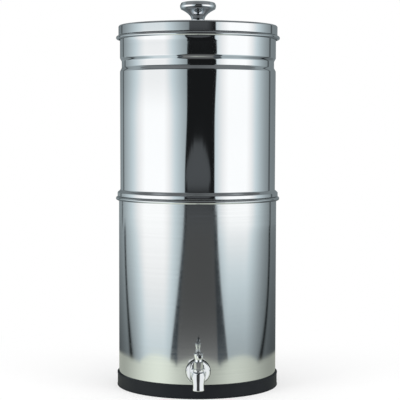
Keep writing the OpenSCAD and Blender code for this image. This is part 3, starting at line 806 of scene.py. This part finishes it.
def make_lever_hub():
    low, high = hub_lo.z, hub_hi.z
    top_r = 6.0 * MM
    foot, waist = 0.82 * top_r, 0.76 * top_r
    dish, cap_r = 0.7 * MM, 3.3 * MM
    chamfer, soft = 0.3 * MM, 0.8 * MM
    outline = (
        [(0, low), (foot - chamfer, low), (foot, low + chamfer), (foot, low + 1.2 * MM)]
        + ease((waist, low + 2.4 * MM), (top_r, high - 2 * soft), 20)
        + arc((top_r - soft, high - soft), soft, 0, 90, 8)
        + [(cap_r + 2 * chamfer, high), (cap_r + chamfer, high - dish), (0, high - dish)])
    piece = lathe("lever_head", outline, 144)
    corner_r = (DRIVE / 2 + 0.1 * MM) * math.sqrt(2)
    drive_top = high - 3 * MM
    drive = [(0, low - MM), (corner_r, low - MM), (corner_r, drive_top), (0, drive_top)]
    square = lathe("square", drive, 4)
    cut(piece, moved(square, Matrix.Rotation(math.radians(45), 4, "Z")))
    cut(piece, rod("screw_way", 1.6 * MM, (0, 0, drive_top - MM), (0, 0, high + MM)))
    seat = rod("lever_seat", LEVER_ROOT_R + 0.2 * MM, (0, 0, 0.8 * top_r), (0, 0, 2 * top_r))
    cut(piece, moved(seat, to_arm))
    cut(piece, moved(rod("lever_thread", 1.8 * MM, (0, 0, 3 * MM), (0, 0, 2 * top_r)), to_arm))
    moved(piece, to_lever)
    stand_for(smooth(piece, 30), "lever_hub", "tap_lever", "chrome")


def make_lever_arm():
    tip_r, root, thread_r, thread_z = 3.75 * MM, 4.8 * MM, 1.7 * MM, 3.2 * MM
    length, chamfer, rim = 29 * MM, 1.2 * MM, 0.25 * MM
    dimple_r, dimple = 0.6 * MM, 2.4 * MM
    mouth_r = tip_r - chamfer - rim
    outline = (
        [(0, thread_z), (thread_r, thread_z), (thread_r, root), (LEVER_ROOT_R, root)]
        + ease((LEVER_ROOT_R, root + 3 * MM), (tip_r, length - 2.5 * MM), 24)
        + [(tip_r, length - chamfer), (tip_r - chamfer, length), (mouth_r, length)]
        + [(dimple_r, length - (mouth_r - dimple_r)), (dimple_r, length - dimple), (0, length - dimple)])
    piece = moved(lathe("lever", outline, 144), to_lever @ to_arm)
    stand_for(smooth(piece, bevel=0.15 * MM), "lever_arm", "tap_lever", "chrome")


def make_lever_screw():
    low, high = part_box("lever_screw")
    cap_r, cap_h, side, thread_r = 3.3 * MM, 1.8 * MM, 0.6 * MM, 1.4 * MM
    slot_half, slot_low, slot_top = 0.4 * MM, high.z - 0.8 * MM, high.z + MM
    seat = high.z - cap_h
    outline = (
        [(0, low.z), (thread_r, low.z), (thread_r, seat), (cap_r, seat)]
        + quarter((0, seat + side), cap_r, cap_h - side, 12))
    piece = lathe("cap_screw", outline, FINE)
    slot = [(-slot_half, slot_low), (slot_half, slot_low), (slot_half, slot_top), (-slot_half, slot_top)]
    cut(piece, moved(prism("slot", slot, 4 * cap_r), Matrix.Rotation(math.radians(90), 4, "Z")))
    moved(piece, to_lever)
    stand_for(smooth(piece), "lever_screw", "tap_lever", "chrome")


# ---- scene ----

for name, slot in (
        ("knob_washer", "plain_steel"), ("knob_screw", "plain_steel"), ("tap_outer_seal", "seal_rubber"),
        ("tap_inner_seal", "seal_rubber"), ("tap_washer", "plain_steel"), ("tap_nut", "plain_steel"),
        ("stem_packing", "packing"), ("tap_stem", "chrome"), ("stem_rings", "seal_rubber"),
        *((f"{part}_{side}", slot) for side in ("left", "right") for part, slot in (
            ("carbon_core", "carbon"), ("candle_seal", "seal_rubber")))):
    paint(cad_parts[name], slot)

make_lower_chamber()
make_upper_chamber()
make_lid()
make_knob()
make_base_ring()
for side, x in (("left", -STEM_X), ("right", STEM_X)):
    make_candle(side, x)
    make_candle_base(side, x)
    make_wing_nut(side, x)
make_tap_body()
make_flange()
make_bonnet()
make_lever_hub()
make_lever_arm()
make_lever_screw()


# ---- studio ----
# Only mirror reflections see the wall, the floor, the ceiling and the card round the spout: soft boxes at
# both sides, and the dark gap with the camera in front. All of it is turned with the viewer by VIEW_TURN.
# Azimuths are in degrees, 0 at the viewer and positive towards +X, heights and distances in metres.

WALL_R = 3.0                # radius of the wall, the floor and the ceiling
WALL_TOP = 2.6
EYE = (3.3 * MM, -1.8536, 0.3618)
LENS = 120.48               # in mm, for a picture 36 mm wide
SHIFT = 0.0113              # share of the picture's width by which it is shifted upwards
PITCH = 3.45                # how far the camera looks down, in degrees
ROLL = 0.127                # in degrees
VIEW_TURN = -0.7            # the viewer stands a little to the left of the tap
to_view = Matrix.Rotation(math.radians(VIEW_TURN), 4, "Z")
LEFT_BOX = (62, 36, 54)     # azimuth of the left soft box, and its fall to the front and to the back
RIGHT_BOX = (60, 42, 40)
NEAR_LEFT = (56, 32, 46)    # the same for the light on the near floor
NEAR_RIGHT = (55, 30, 40)
ROOM_LIGHT = 0.24
BOX_LIGHT = 1.2             # what a soft box adds to it
BRIGHTEST = 1.3             # limit of both together
COOL = (0.87, 1.0, 1.05)    # tint of dim light
GAP_TINT = (0.93, 1.0, 1.06)
NEAR_TINT = (0.94, 1.0, 0.88)


def blend(edge0, edge1, value):
    """0 before edge0, 1 past edge1, and smooth between them."""
    t = np.clip((value - edge0) / (edge1 - edge0), 0, 1)
    return t * t * (3 - 2 * t)


def within(low, high, soft, value):
    """1 from low to high, and 0 outside, with edges that are soft by that much on both sides."""
    return blend(low - soft, low + soft, value) * blend(high + soft, high - soft, value)


def fade(away, reach):
    return np.exp(-away / reach)


def lobe(azimuth, centre, front, back):
    """Soft falloff about centre, with its own width towards the front and the back."""
    off = np.abs(azimuth) - centre
    return np.exp(-(off / np.where(off < 0, front, back)) ** 2)


def side_light(azimuth):
    boxes = np.where(azimuth < 0, lobe(azimuth, *LEFT_BOX), lobe(azimuth, *RIGHT_BOX))
    return np.minimum(ROOM_LIGHT + BOX_LIGHT * boxes, BRIGHTEST)


def tint(value, colour):
    return value[..., None] * np.array(colour)


def cool_greys(value):
    """Bright light is neutral, and dimmer light is a little blue."""
    white = blend(0.75, 1.15, value)[..., None]
    return value[..., None] * (white + (1 - white) * np.array(COOL))


def mix(first, second, share):
    return first * (1 - share[..., None]) + second * share[..., None]


def polar(azimuth, distance, height):
    """Points round the Z axis, of which distance and height may each be a grid or one number."""
    angle = np.radians(azimuth)
    across, ahead = distance * np.sin(angle), distance * np.cos(angle)
    return np.stack(np.broadcast_arrays(across, -ahead, height), axis=-1)


def around(u):
    return 360 * u - 180


def bare_material(name):
    """A node material without nodes, and what adds nodes and links to it."""
    material = bpy.data.materials.new(name)
    material.use_nodes = True
    material.node_tree.nodes.clear()
    return material, material.node_tree.nodes, material.node_tree.links


def stage_mesh(name, columns, rows, place, light):
    """A grid that only mirror reflections see. place and light map grids of 0..1 to points and colours."""
    u, v = np.meshgrid(np.linspace(0, 1, columns + 1), np.linspace(0, 1, rows + 1))
    points = place(u, v)
    colours = light(u, v, points)
    vertices = points.reshape(-1, 3)
    wide = columns + 1
    faces = [(r * wide + c, r * wide + c + 1, (r + 1) * wide + c + 1, (r + 1) * wide + c)
             for r in range(rows) for c in range(columns)]
    piece = moved(add_piece(name, vertices.tolist(), faces), to_view)
    layer = piece.data.attributes.new("light", "FLOAT_COLOR", "POINT")
    rgba = np.concatenate([colours.reshape(-1, 3), np.ones((len(vertices), 1))], axis=1)
    layer.data.foreach_set("color", rgba.astype(np.float32).ravel())
    material, nodes, links = bare_material(name)
    colour = nodes.new("ShaderNodeAttribute")
    colour.attribute_name = "light"
    glow = nodes.new("ShaderNodeEmission")
    output = nodes.new("ShaderNodeOutputMaterial")
    links.new(colour.outputs["Color"], glow.inputs["Color"])
    links.new(glow.outputs[0], output.inputs["Surface"])
    piece.data.materials.append(material)
    for ray in ("camera", "diffuse", "shadow", "transmission", "volume_scatter"):
        setattr(piece, f"visible_{ray}", False)


def edge_line(azimuth, left, right, width=2.6, depth=0.78):
    """A thin dark gap between the side lights and the back of the room."""
    off = np.where(azimuth < 0, azimuth + left, azimuth - right)
    return depth * np.exp(-(off / width) ** 2)


def wall_place(u, v):
    return polar(around(u), WALL_R, WALL_TOP * v)


def wall_colour(u, v, points):
    azimuth, height = around(u), points[..., 2]

    # the left light weakens upwards in two steps, and both end above what the object's upright sides mirror
    left_loss = 0.13 * blend(0.38, 0.52, height) + 0.14 * blend(0.62, 0.70, height)
    top_loss = 0.85 * blend(0.80, 0.92, height) * blend(130, 80, np.abs(azimuth))
    light = side_light(azimuth) * (1 - edge_line(azimuth, left=141, right=130))
    light *= (1 - (azimuth < 0) * left_loss) * (1 - top_loss)

    # the dark gap's edges, which step inwards at the height that the lid's side mirrors
    lid_side = blend(0.62, 0.68, height)
    left = -15.2 - 3.0 * blend(0.42, 0.15, height) - 1.1 * blend(0.09, 0.0, height) + 3.2 * lid_side
    right = 24.2 + 3.0 * blend(0.35, 0.60, height) + 4.0 * blend(0.12, 0.03, height) - 2.2 * lid_side
    gap = within(left, right, 0.7, azimuth)

    # in the gap, an arch of pale floor behind the camera, the near floor below it, and a patch for the lid
    arch_low, arch_h, arch_half, arch_middle = 0.13, 0.165, 18.4, 0.8
    rise = np.clip((height - arch_low) / arch_h, 0, 1)
    half = arch_half * (1 - rise ** 2.2) ** 0.6 * blend(0.125, 0.145, height)
    arch = blend(half + 0.5, half - 0.9, np.abs(azimuth - arch_middle)) * (half > 0.5)
    border = blend(left + 4.6, left + 3.4, azimuth) + blend(right - 5.2, right - 4.0, azimuth)
    foot = blend(0.105, 0.085, height) * (1 - 0.5 * border)
    above = blend(0.66, 0.69, height) * blend(0.80, 0.76, height) * blend(0.0, 14.0, right - azimuth)
    dark = 0.012 + 0.082 * arch + 0.082 * foot + 0.075 * above
    return mix(cool_greys(light), tint(dark, GAP_TINT), gap)


FLOOR_START = 0.05          # where the mirrored floor starts, under the object


def floor_place(u, v):
    return polar(around(u), FLOOR_START * (WALL_R / FLOOR_START) ** v, 0.0)


def mirrored(points):
    """For floor points: the azimuth in which a distant viewer's sight line leaves the chamber's wall for
    each, and how far it then runs."""
    x, ahead = points[..., 0], -points[..., 1]
    reach = np.maximum(np.hypot(x, ahead), lower_r)
    place = np.arctan2(x, ahead)
    normal = place / 2
    for _ in range(12):
        normal = (place + np.arcsin(np.clip(lower_r / reach * np.sin(normal), -1, 1))) / 2
    away = np.hypot(x - lower_r * np.sin(normal), ahead - lower_r * np.cos(normal))
    return np.degrees(2 * normal), away


NEAR_REACH = 0.237                      # how far the near floor's light reaches at its low places
LOW_PLACES = (-92, -30, 33, 99)         # azimuths of these
ARCHES = (0.085, 0.055, 0.070)          # how much further it reaches between them
SIDE_RISE = 0.035                       # and how much further at both sides


def near_edge(azimuth):
    """How far the light of the near floor reaches, in arches between the low places."""
    edge = np.full_like(azimuth, NEAR_REACH)
    for low, high, rise in zip(LOW_PLACES, LOW_PLACES[1:], ARCHES):
        share = np.clip((azimuth - low) / (high - low), 0, 1)
        edge += rise * np.sin(math.pi * share) ** 0.8
    outer = np.maximum(LOW_PLACES[0] - azimuth, azimuth - LOW_PLACES[-1])
    return edge + SIDE_RISE * np.sin(math.radians(1.5) * np.clip(outer, 0, 60))


def floor_colour(u, v, points):
    azimuth, away = mirrored(points)

    # the side lights, weaker towards the object, and the lines at their ends, further forward there
    loss = np.where(azimuth < 0, 0.5 * fade(away, 1.1), 0.75 * fade(away, 1.9))
    loss_behind = 0.52 * fade(away, 1.25) * blend(70, 110, -azimuth)
    past = np.maximum(away - 0.28, 0)
    left_line = 133 - 21 * fade(past, 0.75)
    right_line = 130 - 24 * fade(past, 0.45)
    lines = edge_line(azimuth, left_line, right_line, width=3.0 + 2.6 * fade(past, 0.35), depth=0.97)
    light = side_light(azimuth) * (1 - loss) * (1 - loss_behind) * (1 - lines)

    # the dark gap and its bluish borders, which widen towards the object
    left = -17.5 - 28 * fade(away, 1.2)
    right = 27.5 + 24 * fade(away, 0.95)
    left_band = left + 4 + 16 * fade(away, 0.35)
    right_band = right - 4.5 - 16 * fade(away, 0.8)
    border = blend(left_band + 1, left_band - 1, azimuth) + blend(right_band - 1, right_band + 1, azimuth)
    dim = (0.088 + 0.6 * fade(away, 0.2)) * (1 - 0.5 * border)
    dark = mix(tint(dim, (0.98, 1.0, 1.0)), tint(dim, (0.86, 1.0, 1.12)), border)
    far = mix(cool_greys(light), dark, within(left, right, 1.2, azimuth))

    # the pale near floor
    left_near = 0.55 + 0.46 * lobe(azimuth, *NEAR_LEFT)
    right_near = 0.46 + 0.32 * lobe(azimuth, *NEAR_RIGHT)
    near = np.where(azimuth < 0, left_near, right_near)
    near *= 1 - 0.22 * blend(85, 140, np.abs(azimuth))
    edge = near_edge(azimuth)
    return mix(far, tint(near, NEAR_TINT), blend(edge + 0.03, edge - 0.02, away))


# painted reflection: a glowing card that only the spout mirrors, as a dark line down its middle between
# light sides
CARD_SPAN = 92              # the tap's card reaches this far round the spout on each side, in degrees
CARD_R = 0.020
CARD_LOW, CARD_HIGH = 0.016, 0.043


def card_place(u, v):
    """A small glowing card bent round the front of the spout, which the spout mirrors as a painted
    reflection.
    """
    points = polar(CARD_SPAN * (2 * u - 1), CARD_R, CARD_LOW + (CARD_HIGH - CARD_LOW) * v)
    return points + np.array((0, spout_y, 0))


def card_colour(u, v, points):
    """White at both sides and dark in the middle: the painted reflection of the spout's dark middle line and
    light sides.
    """
    side = blend(19, 30, np.abs(CARD_SPAN * (2 * u - 1)))
    return tint(0.05 + 0.92 * side, (0.97, 1.0, 1.0))


def ceiling_place(u, v):
    return polar(around(u), WALL_R * v, WALL_TOP)


def ceiling_colour(u, v, points):
    """Lit by the soft boxes at its edge, and brighter overhead towards the back."""
    azimuth = around(u)
    overhead = 0.35 * blend(0.62, 0.40, v) * blend(90, 130, np.abs(azimuth))
    return tint(0.13 + 0.10 * side_light(azimuth) * v + overhead, (0.94, 1.0, 1.04))


SOFT_LIGHT = 0.62           # the world's light on all that doesn't mirror it


def white_to_camera():
    """A world that is white wherever it is seen, and lights the object softly."""
    world = bpy.data.worlds.new("studio")
    world.use_nodes = True
    bpy.context.scene.world = world
    nodes, links = world.node_tree.nodes, world.node_tree.links
    path = nodes.new("ShaderNodeLightPath")
    seen = path.outputs["Is Camera Ray"]
    for ray in ("Is Glossy Ray", "Is Transmission Ray"):
        either = nodes.new("ShaderNodeMath")
        either.operation = "MAXIMUM"
        links.new(seen, either.inputs[0])
        links.new(path.outputs[ray], either.inputs[1])
        seen = either.outputs[0]
    strength = ranged(nodes, links, seen, 0, 1, SOFT_LIGHT, 1)
    background = nodes["Background"]
    background.inputs["Color"].default_value = (1, 1, 1, 1)
    links.new(strength.outputs["Result"], background.inputs["Strength"])


def pale_floor():
    """The floor that the camera sees: pale, with the object's soft shadow, fading to white further out."""
    size = 30
    corners = [(-size, -size, 0), (size, -size, 0), (size, size, 0), (-size, size, 0)]
    floor = add_piece("floor", corners, [(0, 1, 2, 3)])
    material, nodes, links = bare_material("floor")
    diffuse = nodes.new("ShaderNodeBsdfDiffuse")
    diffuse.inputs["Color"].default_value = (0.95, 0.95, 0.95, 1)
    glow = nodes.new("ShaderNodeEmission")
    place = nodes.new("ShaderNodeNewGeometry")
    length = nodes.new("ShaderNodeVectorMath")
    length.operation = "LENGTH"
    links.new(place.outputs["Position"], length.inputs[0])
    near, far, near_white = 0.11, 0.50, 0.50        # distances from the origin, and the share of white
    whiter = ranged(nodes, links, length.outputs["Value"], near, far, near_white, 1)
    whiter.interpolation_type = "SMOOTHSTEP"
    mixer = nodes.new("ShaderNodeMixShader")
    links.new(whiter.outputs["Result"], mixer.inputs["Fac"])
    links.new(diffuse.outputs[0], mixer.inputs[1])
    links.new(glow.outputs[0], mixer.inputs[2])
    output = nodes.new("ShaderNodeOutputMaterial")
    links.new(mixer.outputs[0], output.inputs["Surface"])
    floor.data.materials.append(material)
    floor.visible_glossy = False


def soft_box(name, place, size, power):
    """An area lamp that faces the object's middle, and doesn't show in the metal."""
    data = bpy.data.lights.new(name, "AREA")
    data.shape = "RECTANGLE"
    data.size, data.size_y = size
    data.energy = power
    lamp = bpy.data.objects.new(name, data)
    bpy.context.scene.collection.objects.link(lamp)
    lamp.location = place
    middle = (cad_box[0] + cad_box[1]) / 2
    lamp.rotation_mode = "QUATERNION"
    lamp.rotation_quaternion = (lamp.location - middle).to_track_quat("Z", "Y")
    lamp.visible_glossy = False
    lamp.visible_camera = False


def camera():
    data = bpy.data.cameras.new("camera")
    data.lens = LENS
    data.sensor_width = 36
    data.shift_y = SHIFT
    eye = bpy.data.objects.new("camera", data)
    bpy.context.scene.collection.objects.link(eye)
    tilt = Matrix.Rotation(math.radians(90 - PITCH), 4, "X")
    roll = Matrix.Rotation(math.radians(ROLL), 4, "Z")
    eye.matrix_world = to_view @ Matrix.Translation(EYE) @ tilt @ roll
    bpy.context.scene.camera = eye


for name, columns, rows, place, light in (
        ("studio_wall", 720, 130, wall_place, wall_colour),
        ("studio_floor", 540, 160, floor_place, floor_colour),
        ("studio_ceiling", 120, 12, ceiling_place, ceiling_colour),
        ("spout_reflection_card", 92, 2, card_place, card_colour)):
    stage_mesh(name, columns, rows, place, light)
white_to_camera()
pale_floor()
soft_box("key_left", (-1.9, -1.4, 1.2), size=(1.2, 1.6), power=22)
soft_box("key_right", (1.9, -1.4, 1.2), size=(1.2, 1.6), power=18)
soft_box("top", (0.0, -0.2, 2.2), size=(1.6, 1.6), power=18)
camera()
bpy.context.scene.view_settings.view_transform = "Standard"
